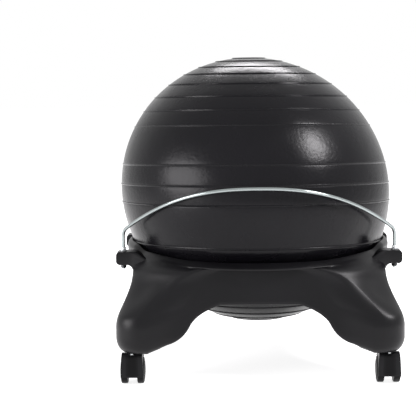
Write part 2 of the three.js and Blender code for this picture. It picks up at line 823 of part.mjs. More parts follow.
// Looks
const blackMoulding = material(0x242427, 0.48, 0);
const charcoalVinyl = material(0x3c3b41, 0.45, 0);
const blackNylon = material(0x1b1b1d, 0.4, 0);
const zinc = material(0xc9d0d2, 0.25, 1);
const blackSteel = material(0x2a2a2c, 0.45, 1);
const plugPlastic = material(0x2b2b2e, 0.5, 0);

const chair = new THREE.Group();
chair.add(part('base_shell', baseGeometry(), blackMoulding));
chair.add(part('ball', ballGeometry(), charcoalVinyl));
chair.add(part('air_plug', plugGeometry(), plugPlastic));
chair.add(part('retaining_bar', barGeometry(), zinc));
chair.add(...barFasteners(-1, 'left'), ...barFasteners(1, 'right'));

for (const corner of corners) {
  const caster = new THREE.Group();
  caster.position.set(corner.x * stemX, corner.y * stemY, 0);
  caster.add(
    part(`caster_socket_${corner.name}`, socketGeometry(), blackNylon),
    part(`caster_stem_${corner.name}`, stemGeometry(), zinc),
    part(`caster_hood_${corner.name}`, hoodGeometry(), blackNylon),
    part(`caster_axle_${corner.name}`, axleGeometry(), zinc),
    part(`wheel_${corner.name}_left`, wheelGeometry(-1), blackNylon),
    part(`wheel_${corner.name}_right`, wheelGeometry(1), blackNylon),
  );
  chair.add(caster);
}

export default chair;
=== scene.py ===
"""Looks of the balance ball chair: vinyl ball, moulded base, bent bar and hooded casters, in metres."""

import math

import bmesh
import bpy
from mathutils import Matrix, Vector


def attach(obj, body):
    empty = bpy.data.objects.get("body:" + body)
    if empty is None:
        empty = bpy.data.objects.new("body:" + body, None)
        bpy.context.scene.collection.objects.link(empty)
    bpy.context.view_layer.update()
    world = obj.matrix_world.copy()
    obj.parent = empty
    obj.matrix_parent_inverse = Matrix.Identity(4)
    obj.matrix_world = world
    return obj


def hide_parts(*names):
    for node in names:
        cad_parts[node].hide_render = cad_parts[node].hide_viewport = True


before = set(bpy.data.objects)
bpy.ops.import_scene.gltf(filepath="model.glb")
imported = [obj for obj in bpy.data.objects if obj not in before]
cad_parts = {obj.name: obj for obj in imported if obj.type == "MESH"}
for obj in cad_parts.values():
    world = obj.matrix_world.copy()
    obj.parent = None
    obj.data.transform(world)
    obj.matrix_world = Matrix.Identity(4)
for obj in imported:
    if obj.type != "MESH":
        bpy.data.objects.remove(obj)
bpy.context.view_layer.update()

MM = 0.001
degrees = math.radians
FULL_TURN = 2 * math.pi
QUARTER_TURN = math.pi / 2
EIGHTH_TURN = math.pi / 4
WHITE = (1, 1, 1, 1)


# Camera, fitted to the photograph
CAMERA_HEADING, CAMERA_PITCH, CAMERA_ROLL = 0.0203, 0.1143, -0.0101
CAMERA_PLACE = (-0.0465, -2.4996, 0.5863)
SENSOR_WIDTH, LENS = 36, 110.14
CLIP_NEAR, CLIP_FAR = 0.1, 60


def make_camera():
    forward = Vector(
        (
            -math.sin(CAMERA_HEADING) * math.cos(CAMERA_PITCH),
            math.cos(CAMERA_HEADING) * math.cos(CAMERA_PITCH),
            -math.sin(CAMERA_PITCH),
        )
    )
    right = forward.cross(Vector((0, 0, 1))).normalized()
    up = right.cross(forward)
    turned_right = math.cos(CAMERA_ROLL) * right + math.sin(CAMERA_ROLL) * up
    turned_up = math.cos(CAMERA_ROLL) * up - math.sin(CAMERA_ROLL) * right
    axes = Matrix((turned_right, turned_up, -forward)).transposed()
    camera = bpy.data.objects.new("view", bpy.data.cameras.new("view"))
    camera.matrix_world = Matrix.Translation(CAMERA_PLACE) @ axes.to_4x4()
    camera.data.sensor_width = SENSOR_WIDTH
    camera.data.lens = LENS
    camera.data.clip_start = CLIP_NEAR
    camera.data.clip_end = CLIP_FAR
    bpy.context.scene.collection.objects.link(camera)
    bpy.context.scene.camera = camera


# Helpers
MERGE_DISTANCE = 1e-6
SHARP_ANGLE = 35
ROUNDED_SHARE = 0.45


def smooth(value):
    """From 0 at 0 or less to 1 at 1 or more, without a corner at either end."""
    t = min(1, max(0, value))
    return t * t * (3 - 2 * t)


def grown(value, start, run):
    """0 up to start, then smoothly up to 1 over the run."""
    return smooth((value - start) / run)


def faded(value, end, run):
    """1 until a run before the end, then smoothly down to 0 at the end."""
    return smooth((end - value) / run)


def lerp(a, b, t):
    return a + (b - a) * t


def bend(start, corner, end, t):
    """A point on the curve that leaves start towards the corner and reaches end from it."""
    return start * (1 - t) ** 2 + corner * 2 * t * (1 - t) + end * t**2


def scaled(profile, start=0):
    """A profile given in millimetres, in metres and lifted to its start."""
    return [(radius * MM, start + height * MM) for radius, height in profile]


def shade(mesh, sharp):
    """Smooth shading up to the given edge angle in degrees."""
    mesh.shade_smooth()
    mesh.set_sharp_from_angle(angle=degrees(sharp))


def link(name, mesh, look, sharp=SHARP_ANGLE):
    """One shaded object of one material from a finished mesh."""
    shade(mesh, sharp)
    mesh.materials.clear()
    mesh.materials.append(look)
    piece = bpy.data.objects.new(name, mesh)
    bpy.context.scene.collection.objects.link(piece)
    return piece


def mesh_of(name, points, faces):
    """A mesh whose doubled points are merged and whose faces look outwards."""
    mesh = bpy.data.meshes.new(name)
    mesh.from_pydata(points, [], faces)
    work = bmesh.new()
    work.from_mesh(mesh)
    bmesh.ops.remove_doubles(work, verts=work.verts, dist=MERGE_DISTANCE)
    bmesh.ops.recalc_face_normals(work, faces=work.faces)
    work.to_mesh(mesh)
    work.free()
    return mesh


def lofted(name, loops, ends):
    """Quads through loops of equal count; the ends are "joined" to each other, "capped" or "open"."""
    count = len(loops[0])
    points = [tuple(p) for loop in loops for p in loop]
    faces = []
    for i in range(len(loops) if ends == "joined" else len(loops) - 1):
        after = (i + 1) % len(loops)
        for j in range(count):
            k = (j + 1) % count
            faces.append((i * count + j, after * count + j, after * count + k, i * count + k))
    if ends == "capped":
        faces.append(tuple(range(count)))
        faces.append(tuple(range((len(loops) - 1) * count, len(loops) * count)))
    return mesh_of(name, points, faces)


def turned(name, profile, sides, radius_at=None):
    """A piece turned about Z from (radius, height) pairs, the last of which joins the first."""
    loops = []
    for i in range(sides):
        angle = FULL_TURN * i / sides
        ring = []
        for radius, height in profile:
            reach = radius if radius_at is None else radius_at(radius, angle)
            ring.append((reach * math.cos(angle), reach * math.sin(angle), height))
        loops.append(ring)
    return lofted(name, loops, "joined")


def rounded(profile, reach, steps=3):
    """The same profile with each corner between its ends rounded."""
    points = [Vector(p) for p in profile]
    result = [points[0]]
    for before, here, after in zip(points, points[1:], points[2:]):
        into, out = before - here, after - here
        cut = min(reach, into.length * ROUNDED_SHARE, out.length * ROUNDED_SHARE)
        start = here + into.normalized() * cut
        end = here + out.normalized() * cut
        result += [bend(start, here, end, i / steps) for i in range(steps + 1)]
    result.append(points[-1])
    return [tuple(p) for p in result]


def cut_away(piece, tools):
    """Subtracts the tool objects from the piece and removes them."""
    for tool in tools:
        boolean = piece.modifiers.new("cut", "BOOLEAN")
        boolean.operation = "DIFFERENCE"
        boolean.object = tool
        boolean.solver = "EXACT"
        depsgraph = bpy.context.evaluated_depsgraph_get()
        mesh = bpy.data.meshes.new_from_object(piece.evaluated_get(depsgraph))
        piece.modifiers.clear()
        piece.data = mesh
        bpy.data.objects.remove(tool)


def cylinder_tool(radius, start, end, axis, centre, sides):
    """A plain cutting cylinder along X or Z."""
    mesh = turned("tool", [(0, start), (radius, start), (radius, end), (0, end)], sides)
    if axis == "X":
        mesh.transform(Matrix.Rotation(QUARTER_TURN, 4, "Y"))
    mesh.transform(Matrix.Translation(centre))
    tool = bpy.data.objects.new("tool", mesh)
    bpy.context.scene.collection.objects.link(tool)
    return tool


def soften(piece, width, segments, angle):
    """Rounds the edges of a piece that are sharper than the angle."""
    bevel = piece.modifiers.new("edge", "BEVEL")
    bevel.width = width
    bevel.segments = segments
    bevel.limit_method = "ANGLE"
    bevel.angle_limit = degrees(angle)
    bevel.harden_normals = True


def settle(piece, body, nodes):
    """The piece rides on a body and stands for its CAD nodes, which are hidden."""
    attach(piece, body)
    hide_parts(*nodes)


# Materials
NOISE_LOW, NOISE_HIGH = 0.3, 0.7
RAISED_LOW, RAISED_HIGH = 0.56, 0.68
MIX_FIRST, MIX_SECOND, MIX_RESULT = 6, 7, 2

PLASTIC_FLOW, PLASTIC_FLOW_HEIGHT, PLASTIC_GRAIN_HEIGHT = 9, 0.6 * MM, 0.06 * MM
PLASTIC_SMOOTHER, PLASTIC_ROUGHER, PLASTIC_DETAIL = 0.05, 0.06, 2

PLASTICS = {
    "moulding": {
        "name": "black_moulding",
        "dark": (0.0032, 0.003, 0.0037),
        "light": (0.0044, 0.0042, 0.0052),
        "worn": (0.02, 0.02, 0.023),
        "roughness": 0.36,
        "specular": 0.19,
        "grain": 1500,
    },
    "nylon": {
        "name": "black_nylon",
        "dark": (0.003, 0.003, 0.0033),
        "light": (0.0045, 0.0045, 0.005),
        "worn": (0.014, 0.014, 0.015),
        "roughness": 0.34,
        "specular": 0.09,
        "grain": 1800,
    },
    "tread": {
        "name": "wheel_nylon",
        "dark": (0.004, 0.004, 0.0043),
        "light": (0.006, 0.006, 0.0065),
        "worn": (0.016, 0.016, 0.017),
        "roughness": 0.4,
        "specular": 0.09,
        "grain": 900,
    },
    "plug": {
        "name": "plug_plastic",
        "dark": (0.02, 0.02, 0.021),
        "light": (0.026, 0.026, 0.028),
        "worn": (0.06, 0.06, 0.06),
        "roughness": 0.45,
        "specular": 0.3,
        "grain": 1200,
    },
}

VINYL_DARK, VINYL_LIGHT = (0.0037, 0.0034, 0.0046), (0.006, 0.0056, 0.0072)
VINYL_WORN = (0.024, 0.023, 0.027)
VINYL_ROUGHNESS, VINYL_SMOOTHEST, VINYL_ROUGHEST = 0.26, 0.22, 0.3
VINYL_SPECULAR = 0.15
VINYL_CLOUDS, VINYL_DETAIL = 5, 3
VINYL_SWELLS, VINYL_SWELL_HEIGHT = 14, 1.1 * MM
VINYL_GRAIN, VINYL_GRAIN_HEIGHT = 170, 0.28 * MM
VINYL_SKIN, VINYL_SKIN_HEIGHT = 620, 0.06 * MM

METAL_MARKS, METAL_MARK_HEIGHT, METAL_CLOUDS = 900, 0.02 * MM, 60
METAL_SMOOTHER, METAL_ROUGHER, METAL_DETAIL = 0.05, 0.07, 2

METALS = {
    "rod": {
        "name": "bright_rod",
        "colour": (0.3, 0.33, 0.33),
        "roughness": 0.2,
        "stretch": (1, 1, 0.05),
    },
    "zinc": {
        "name": "zinc_plate",
        "colour": (0.6, 0.62, 0.63),
        "roughness": 0.3,
        "stretch": (1, 1, 1),
    },
    "black_steel": {
        "name": "blackened_steel",
        "colour": (0.05, 0.05, 0.052),
        "roughness": 0.4,
        "stretch": (1, 1, 1),
    },
}


def material(name, colour, roughness, metallic=0.0, specular=0.5):
    made = bpy.data.materials.new(name)
    made.use_nodes = True
    shader = made.node_tree.nodes["Principled BSDF"]
    shader.inputs["Base Color"].default_value = (*colour, 1)
    shader.inputs["Roughness"].default_value = roughness
    shader.inputs["Metallic"].default_value = metallic
    shader.inputs["Specular IOR Level"].default_value = specular
    return made, shader


def add(made, kind, **values):
    """A new node; each value goes to the input socket of its name, or else to the setting."""
    node = made.node_tree.nodes.new(kind)
    for key, value in values.items():
        if key in node.inputs:
            node.inputs[key].default_value = value
        else:
            setattr(node, key, value)
    return node


def wire(made, source, output, target, socket):
    made.node_tree.links.new(source.outputs[output], target.inputs[socket])


def noise(made, scale, detail, stretch=None):
    """Noise in the piece's own coordinates, at so many features to the metre."""
    place = add(made, "ShaderNodeTexCoord")
    texture = add(made, "ShaderNodeTexNoise", Scale=scale, Detail=detail)
    if stretch is None:
        wire(made, place, "Object", texture, "Vector")
    else:
        mapping = add(made, "ShaderNodeMapping", Scale=stretch)
        wire(made, place, "Object", mapping, "Vector")
        wire(made, mapping, "Vector", texture, "Vector")
    return texture


def ramp(made, source, output, low, high, dark, light):
    """Maps a value from low to high onto the colours from dark to light."""
    node = add(made, "ShaderNodeValToRGB")
    node.color_ramp.elements[0].position = low
    node.color_ramp.elements[1].position = high
    node.color_ramp.elements[0].color = (*dark, 1)
    node.color_ramp.elements[1].color = (*light, 1)
    wire(made, source, output, node, "Fac")
    return node


def vary(made, shader, socket, texture, low, high):
    """The texture moves a shader value between low and high."""
    spread = add(made, "ShaderNodeMapRange")
    spread.inputs["From Min"].default_value = NOISE_LOW
    spread.inputs["From Max"].default_value = NOISE_HIGH
    spread.inputs["To Min"].default_value = low
    spread.inputs["To Max"].default_value = high
    wire(made, texture, "Fac", spread, "Value")
    wire(made, spread, "Result", shader, socket)


def bumps(made, shader, layers):
    """Chains layers of relief, (texture, height in metres), into the shader's normal."""
    last = None
    for texture, height in layers:
        bump = add(made, "ShaderNodeBump", Strength=1.0, Distance=height)
        wire(made, texture, "Fac", bump, "Height")
        if last is not None:
            wire(made, last, "Normal", bump, "Normal")
        last = bump
    wire(made, last, "Normal", shader, "Normal")


def worn_colour(made, shader, texture, dark, light, worn):
    """Cloudy colour with paler scuffs on the raised edges."""
    cloud = ramp(made, texture, "Fac", NOISE_LOW, NOISE_HIGH, dark, light)
    shape = add(made, "ShaderNodeNewGeometry")
    edge = ramp(made, shape, "Pointiness", RAISED_LOW, RAISED_HIGH, (0, 0, 0), (1, 1, 1))
    mix = add(made, "ShaderNodeMix", data_type="RGBA")
    mix.inputs[MIX_SECOND].default_value = (*worn, 1)
    wire(made, edge, "Color", mix, "Factor")
    wire(made, cloud, "Color", mix, MIX_FIRST)
    wire(made, mix, MIX_RESULT, shader, "Base Color")


def moulded(name, dark, light, worn, roughness, specular, grain):
    """Moulded plastic: fine spark-eroded grain, faint flow marks and rubbed edges."""
    made, shader = material(name, light, roughness, specular=specular)
    flow = noise(made, PLASTIC_FLOW, PLASTIC_DETAIL)
    fine = noise(made, grain, PLASTIC_DETAIL)
    worn_colour(made, shader, flow, dark, light, worn)
    vary(made, shader, "Roughness", flow, roughness - PLASTIC_SMOOTHER, roughness + PLASTIC_ROUGHER)
    bumps(made, shader, [(fine, PLASTIC_GRAIN_HEIGHT), (flow, PLASTIC_FLOW_HEIGHT)])
    return made


def vinyl():
    """Inflated vinyl: soft sheen on a slightly uneven skin, paler along the raised rings."""
    made, shader = material("charcoal_vinyl", VINYL_LIGHT, VINYL_ROUGHNESS, specular=VINYL_SPECULAR)
    swells = noise(made, VINYL_SWELLS, VINYL_DETAIL)
    cloud = noise(made, VINYL_CLOUDS, VINYL_DETAIL)
    grain = noise(made, VINYL_GRAIN, VINYL_DETAIL)
    skin = noise(made, VINYL_SKIN, VINYL_DETAIL)
    worn_colour(made, shader, cloud, VINYL_DARK, VINYL_LIGHT, VINYL_WORN)
    vary(made, shader, "Roughness", swells, VINYL_SMOOTHEST, VINYL_ROUGHEST)
    relief = [(swells, VINYL_SWELL_HEIGHT), (grain, VINYL_GRAIN_HEIGHT), (skin, VINYL_SKIN_HEIGHT)]
    bumps(made, shader, relief)
    return made


def metal(name, colour, roughness, stretch):
    """Plated or blackened steel with fine drawing marks."""
    made, shader = material(name, colour, roughness, metallic=1.0)
    marks = noise(made, METAL_MARKS, METAL_DETAIL, stretch)
    cloud = noise(made, METAL_CLOUDS, METAL_DETAIL)
    vary(made, shader, "Roughness", cloud, roughness - METAL_SMOOTHER, roughness + METAL_ROUGHER)
    bumps(made, shader, [(marks, METAL_MARK_HEIGHT)])
    return made


def make_looks():
    looks = {key: moulded(**values) for key, values in PLASTICS.items()}
    looks["vinyl"] = vinyl()
    looks.update({key: metal(**values) for key, values in METALS.items()})
    return looks


# Ball, with rings and tilts in degrees, and the bead's reach and groove in half bead widths
BALL_WIDTH, BALL_HEIGHT, BALL_LIFT = 524 * MM, 514 * MM, 337 * MM
BALL_CENTRE = Vector((0, 0, BALL_LIFT))
BALL_SIDES, SKIN_STEP = 180, degrees(1.6)
VALVE_RADIUS = 4.9 * MM
RINGS = [7, 14.3, 22.1, 29.3, 37.3, 45.6, 53.5, 61.3, 78.5, 87, 94.8]
RINGS += [112.7, 120.5, 128.4, 136.7, 144.7, 151.9, 159.7, 167]
BEAD_WIDTH, BEAD_HEIGHT, BEAD_STEPS = 3.0 * MM, 1.4 * MM, 12
BEAD_REACH, BEAD_ROUNDNESS = 2.2, 0.6
GROOVE_SHARE, GROOVE_PLACE, GROOVE_SPREAD = 0.22, 1.35, 0.35
TILT_TOP, TILT_WAIST = 1.2, 3.6
TILT_START, TILT_RUN = degrees(20), degrees(50)
TILT_END, TILT_END_RUN = degrees(128), degrees(18)
TUCK = 5 * MM
TUCK_START, TUCK_START_RUN = degrees(113.6), degrees(4)
TUCK_END, TUCK_END_RUN = degrees(132), degrees(8)
LEAN, LEAN_START = 0.042, 235 * MM


def ring_tilt(polar):
    """How far a ring's plane tips back: most round the waist, and not at all in the seat."""
    tilt = degrees(lerp(TILT_TOP, TILT_WAIST, grown(polar, TILT_START, TILT_RUN)))
    return tilt * faded(polar, TILT_END, TILT_END_RUN)


def ball_profile():
    """(polar angle, rise of the skin) from the top to the valve hole."""
    half = BEAD_WIDTH / BALL_WIDTH
    stops = [(0.0, 0.0)]

    def plain_skin(end):
        last = stops[-1][0]
        steps = max(2, round((end - last) / SKIN_STEP))
        stops.extend([(lerp(last, end, (i + 1) / steps), 0.0) for i in range(steps)])

    for ring in RINGS:
        place = degrees(ring)
        plain_skin(place - BEAD_REACH * half)
        for i in range(1, BEAD_STEPS):
            offset = lerp(-BEAD_REACH, BEAD_REACH, i / BEAD_STEPS)
            crown = max(0.0, 1 - abs(offset)) ** BEAD_ROUNDNESS
            groove = GROOVE_SHARE * math.exp(-(((abs(offset) - GROOVE_PLACE) / GROOVE_SPREAD) ** 2))
            stops.append((place + offset * half, BEAD_HEIGHT * (crown - groove)))
        stops.append((place + BEAD_REACH * half, 0.0))
    plain_skin(math.pi - math.asin(VALVE_RADIUS / (BALL_WIDTH / 2)))
    return stops


def ball_place(polar, turn, rise):
    """A point of the skin, tipped with its ring, drawn in behind the lip and leaning left."""
    tilt = ring_tilt(polar)
    x = math.sin(polar) * math.cos(turn)
    y = math.sin(polar) * math.sin(turn)
    z = math.cos(polar)
    y, z = y * math.cos(tilt) + z * math.sin(tilt), z * math.cos(tilt) - y * math.sin(tilt)
    rise -= TUCK * grown(polar, TUCK_START, TUCK_START_RUN) * faded(polar, TUCK_END, TUCK_END_RUN)
    across, upward = BALL_WIDTH / 2 + rise, BALL_HEIGHT / 2 + rise
    place = BALL_CENTRE + Vector((across * x, across * y, upward * z))
    place.x -= LEAN * max(0.0, place.z - LEAN_START)
    return place


def make_ball(look):
    loops = [
        [ball_place(polar, FULL_TURN * i / BALL_SIDES, rise) for i in range(BALL_SIDES)]
        for polar, rise in ball_profile()
    ]
    ball = link("ball_skin", lofted("ball_skin", loops, "open"), look, sharp=60)
    settle(ball, "ball", ["ball"])


# Plug, with its profile as (radius, height above its flange) in millimetres
PLUG_GAP, PLUG_ROUNDING = 0.3 * MM, 0.4 * MM
PLUG_PROFILE = [(0, -1.8), (8.6, -1.8), (9.5, -0.9), (9.5, 0), (3.9, 0)]
PLUG_PROFILE += [(3.9, 3), (4.6, 4.8), (3.4, 15), (0, 15)]


def make_plug(look):
    """The valve's stopper: a flange under the ball and a barbed pin in its hole."""
    flange = BALL_LIFT - BALL_HEIGHT / 2 - PLUG_GAP
    profile = rounded(scaled(PLUG_PROFILE, flange), PLUG_ROUNDING)
    plug = link("valve_plug", turned("valve_plug", profile, sides=48), look)
    settle(plug, "plug", ["air_plug"])


# Base: panels, legs and feet, with the arch's corners in millimetres
PANEL_TOP, PANEL_OFFSET, PANEL_DRAFT = 215 * MM, 234.02 * MM, 0.12
SKIRT_BOTTOM, SKIRT_RUN, SKIRT_RISE = 150 * MM, 4 * MM, 6 * MM
FOOT_BOTTOM, FOOT_HALF, FOOT_CORNER = 62 * MM, 263.02 * MM, 45 * MM
FOOT_RUN, FOOT_RISE = 19 * MM, 28 * MM
NECK_HALF = 237.02 * MM
FLARE_TOP, FLARE_RUN = 192 * MM, 84 * MM
BULGE_START = 0.6
CREASE_START, CREASE_END = 98 * MM, FOOT_HALF - FOOT_CORNER
CREASE_END_HEIGHT, CREASE_BOW = 130 * MM, 0.55
SCOOP_DEEP, SCOOP_SHALLOW = 0.25, 0.08
SCOOP_START, SCOOP_START_RUN = 120 * MM, 50 * MM
SCOOP_LESSENS, SCOOP_LESSENS_RUN = 178 * MM, 37 * MM
ARCH = [(72, 150), (113, 136), (126, 114.5), (139, 87), (168, 78.5), (205, 62)]
FLAT_STEPS, ARCH_STEPS, LEG_STEPS = 8, 14, 16
SIDE_LEVELS, SIDE_CROWDING = 44, 1.8

# Base: the pocket inside each leg, the walls and the seat
POCKET_CORNER, POCKET_ROUNDING = FOOT_HALF - 68 * MM, 8 * MM
PANEL_WALL, LEG_WALL = 46 * MM, 60 * MM
INSIDE_TOP = 165 * MM
SEAT_GAP, SEAT_LOW, SEAT_HIGH = 2.2 * MM, 203 * MM, 215 * MM

# Base: the rim, with pairs of sizes for its front and for its saddles
RIM_RADIUS = 256.02 * MM
LIP_FRONT, LIP_SIDE_RISE, LIP_SADDLE_RISE = 224.5 * MM, 6 * MM, 10.5 * MM
LIP_START, LIP_RUN = degrees(28), degrees(32)
EDGE_FRONT, EDGE_SIDE_RISE, EDGE_SADDLE_RISE = 217.2 * MM, 4 * MM, 11.8 * MM
EDGE_START, EDGE_RUN = degrees(25), degrees(20)
EDGE_SADDLE_START, EDGE_SADDLE_RUN = degrees(55), degrees(14)
SADDLE_START, SADDLE_RUN = degrees(60), degrees(9)
CROWN_RISE, CROWN_RUN = 2.2 * MM, (3 * MM, 2.4 * MM)
SHOULDER_RADIUS, SHOULDER_DROP = (251 * MM, 254 * MM), (6 * MM, 5 * MM)
BAND_HEIGHT, BAND_INSET = (2.6 * MM, 16 * MM), 1.2 * MM
LEG_BLEND_START, LEG_BLEND_RUN = degrees(25), degrees(12)
RIM_ROUNDING, RIM_STEPS = 4 * MM, 5


def arch_points():
    """Lower edge of a panel: two bends and a straight run to the foot."""
    spots = [Vector(p) * MM for p in ARCH]
    result = []
    for first in (0, 2):
        corners = spots[first : first + 3]
        result += [bend(*corners, i / ARCH_STEPS) for i in range(ARCH_STEPS)]
    straight = ARCH_STEPS // 2
    result += [spots[-2].lerp(spots[-1], i / straight) for i in range(straight + 1)]
    return result


def panel_offset(height):
    """How far out from the axis a panel's face lies."""
    return PANEL_OFFSET + PANEL_DRAFT * (PANEL_TOP - height)


def edge_inset(above, foot):
    """How far a rounded lower edge draws in; foot goes from 0 at a panel to 1 at a foot."""
    share = 1 - min(1, max(0, above / lerp(SKIRT_RISE, FOOT_RISE, foot)))
    return lerp(SKIRT_RUN, FOOT_RUN, foot) * (1 - math.sqrt(max(0, 1 - share**2)))


def leg_half_width(height):
    """How far out from the axis a leg's two flanks lie."""
    flare = faded(height, FLARE_TOP, FLARE_RUN)
    return max(panel_offset(height), lerp(NECK_HALF, FOOT_HALF, flare))


def crease_x(height):
    """Where the crease between a panel and a leg lies along the panel."""
    drop = (PANEL_TOP - height) / (PANEL_TOP - CREASE_END_HEIGHT)
    return lerp(CREASE_START, CREASE_END, min(1, max(0, drop)) ** CREASE_BOW)


def scoop(height):
    """Share by which a leg draws in at its diagonal."""
    depth = lerp(SCOOP_DEEP, SCOOP_SHALLOW, grown(height, SCOOP_LESSENS, SCOOP_LESSENS_RUN))
    return depth * grown(height, SCOOP_START, SCOOP_START_RUN)


def leg_bulge(station):
    """How much of the leg's flare a panel's station takes, from none to all at the crease."""
    return grown(station["share"], BULGE_START, 1 - BULGE_START)


def outer_point(station, share):
    """(along the panel, out from the axis, height) on the outside of the base."""
    level = lerp(PANEL_TOP, FOOT_BOTTOM, share)
    if "turn" in station:
        centre = crease_x(level)
        radius = leg_half_width(level) - edge_inset(level - FOOT_BOTTOM, 1) - centre
        reach = radius * (1 - scoop(level) * math.sin(2 * station["turn"]))
        return (
            centre + reach * math.cos(station["turn"]),
            centre + reach * math.sin(station["turn"]),
            level,
        )
    height = lerp(PANEL_TOP, station["arch"], share)
    bulge = leg_bulge(station)
    swell = (leg_half_width(level) - panel_offset(level)) * bulge
    inset = edge_inset(height - station["arch"], bulge)
    return (station["share"] * crease_x(level), panel_offset(height) + swell - inset, height)


def inner_point(station):
    """(along the panel, out from the axis) on the inside of the base."""
    if "turn" in station:
        return (
            POCKET_CORNER + POCKET_ROUNDING * math.cos(station["turn"]),
            POCKET_CORNER + POCKET_ROUNDING * math.sin(station["turn"]),
        )
    bulge = leg_bulge(station)
    outside = lerp(panel_offset(station["arch"]), FOOT_HALF, bulge)
    wall = lerp(PANEL_WALL, LEG_WALL, bulge)
    return station["share"] * lerp(CREASE_END, POCKET_CORNER, bulge), outside - wall


def seat_radius(height):
    """Radius of the seat's wall, which keeps a gap to the ball."""
    rise = (height - BALL_CENTRE.z) / (BALL_HEIGHT / 2 + SEAT_GAP)
    return (BALL_WIDTH / 2 + SEAT_GAP) * math.sqrt(1 - rise**2)


def rim_profile(from_front, fade, top):
    """(radius, height) pairs over the rim from the seat's lip to the underside of its edge.

    Over the legs (fade = 1) there is no edge, and the rim runs on into the leg's top.
    """
    saddle = grown(from_front, SADDLE_START, SADDLE_RUN)
    edge_saddle = grown(from_front, EDGE_SADDLE_START, EDGE_SADDLE_RUN)
    lip = LIP_FRONT + LIP_SIDE_RISE * grown(from_front, LIP_START, LIP_RUN)
    lip += LIP_SADDLE_RISE * saddle
    edge = EDGE_FRONT + EDGE_SIDE_RISE * grown(from_front, EDGE_START, EDGE_RUN)
    edge += EDGE_SADDLE_RISE * edge_saddle
    crown = lip + CROWN_RISE
    band = lerp(*BAND_HEIGHT, saddle)
    corners = [
        (seat_radius(lip), lip),
        (seat_radius(lip) + lerp(*CROWN_RUN, saddle), crown),
        (lerp(*SHOULDER_RADIUS, saddle), crown - lerp(*SHOULDER_DROP, saddle)),
        (RIM_RADIUS, edge),
        (
            lerp(RIM_RADIUS - BAND_INSET, (RIM_RADIUS + top[0]) / 2, fade),
            lerp(edge - band, (edge + top[1]) / 2, fade),
        ),
    ]
    return rounded(corners, RIM_ROUNDING, RIM_STEPS)


def station_loop(station, across_front):
    """The closed section of the base at a station: rim, outside, bottom, inside and seat."""
    top = outer_point(station, 0)
    angle = math.atan2(top[0], top[1])
    from_front = angle if across_front else QUARTER_TURN - angle
    fade = grown(angle, LEG_BLEND_START, LEG_BLEND_RUN)
    rim = rim_profile(from_front, fade, (math.hypot(top[0], top[1]), top[2]))

    def polar(radius, height):
        return (radius * math.sin(angle), radius * math.cos(angle), height)

    loop = [polar(*p) for p in rim]
    for i in range(SIDE_LEVELS + 1):
        loop.append(outer_point(station, 1 - (1 - i / SIDE_LEVELS) ** SIDE_CROWDING))
    inner = inner_point(station)
    bottom = loop[-1][2]
    seat = polar(seat_radius(SEAT_LOW), SEAT_LOW)
    loop.append((*inner, bottom))
    loop.append((*inner, (bottom + INSIDE_TOP) / 2))
    loop.append((lerp(inner[0], seat[0], 0.5), lerp(inner[1], seat[1], 0.5), INSIDE_TOP))
    loop += [seat, polar(seat_radius(SEAT_HIGH), SEAT_HIGH)]
    return loop


def eighth_stations():
    """From the middle of a panel to the diagonal of a leg."""
    flat = ARCH[0][0] * MM / CREASE_END
    stations = [{"share": flat * i / FLAT_STEPS, "arch": SKIRT_BOTTOM} for i in range(FLAT_STEPS)]
    stations += [{"share": spot.x / CREASE_END, "arch": spot.y} for spot in arch_points()]
    for i in range(1, LEG_STEPS + 1):
        stations.append({"turn": QUARTER_TURN - EIGHTH_TURN * i / LEG_STEPS})
    return stations


def base_mesh():
    """The base as one closed loft round its four sides, each in two mirrored halves."""
    stations = eighth_stations()
    order = [(s, -1) for s in reversed(stations[1:])] + [(s, 1) for s in stations[:-1]]
    loops = []
    for side in range(4):
        turn = Matrix.Rotation(side * QUARTER_TURN, 4, "Z")
        for station, mirror in order:
            loop = station_loop(station, side % 2 == 0)
            loops.append([turn @ Vector((mirror * a, -b, z)) for a, b, z in loop])
    return lofted("base_moulding", loops, "joined")


# Lugs
BAR_HALF = 255.42 * MM
ROD_HOLE, ROD_HOLE_START, ROD_HOLE_END = 3.6 * MM, 150 * MM, 300 * MM
LUG_TOP, LUG_HEIGHT, LUG_DEPTH = 233 * MM, 25 * MM, 34 * MM
LUG_OUTER, LUG_INNER, LUG_Y = 268.52 * MM, 196 * MM, 120.98 * MM
LUG_END, LUG_EDGE, LUG_FILLET = 7 * MM, 1.5 * MM, 11 * MM
LUG_END_STEPS, LUG_STEPS, LUG_EDGE_STEPS = 8, 44, 4
LUG_DROP, LUG_DROP_START, LUG_DROP_RUN = 12 * MM, 232 * MM, 26 * MM
LUG_BACK_REACH = 243 * MM
WEB_START, WEB_BEND, WEB_SLOPE = 251 * MM, 16 * MM, 0.3
WEB_EDGE, WEB_EDGE_START, WEB_EDGE_RUN = 7 * MM, 246 * MM, 20 * MM


def lug_section(x):
    """(front, back, bottom, top) of a lug where it is x out from the middle of the chair."""
    into = max(0, x - (LUG_OUTER - LUG_END))
    drop = LUG_END - math.sqrt(max(0, LUG_END**2 - into**2))
    top = LUG_TOP - drop - LUG_DROP * faded(x, LUG_DROP_START, LUG_DROP_RUN)
    under = min(LUG_FILLET, max(0, NECK_HALF + LUG_FILLET - x))
    fillet = LUG_FILLET - math.sqrt(LUG_FILLET**2 - under**2)
    bottom = LUG_TOP - LUG_HEIGHT + drop - fillet
    sweep = max(0, WEB_START - x)
    web = WEB_SLOPE * (sweep**2 / (2 * WEB_BEND) if sweep < WEB_BEND else sweep - WEB_BEND / 2)
    front = LUG_Y + LUG_DEPTH / 2 + web
    back = max(LUG_Y - LUG_DEPTH / 2, math.sqrt(max(0, LUG_BACK_REACH**2 - x**2)))
    return front, back, bottom, top


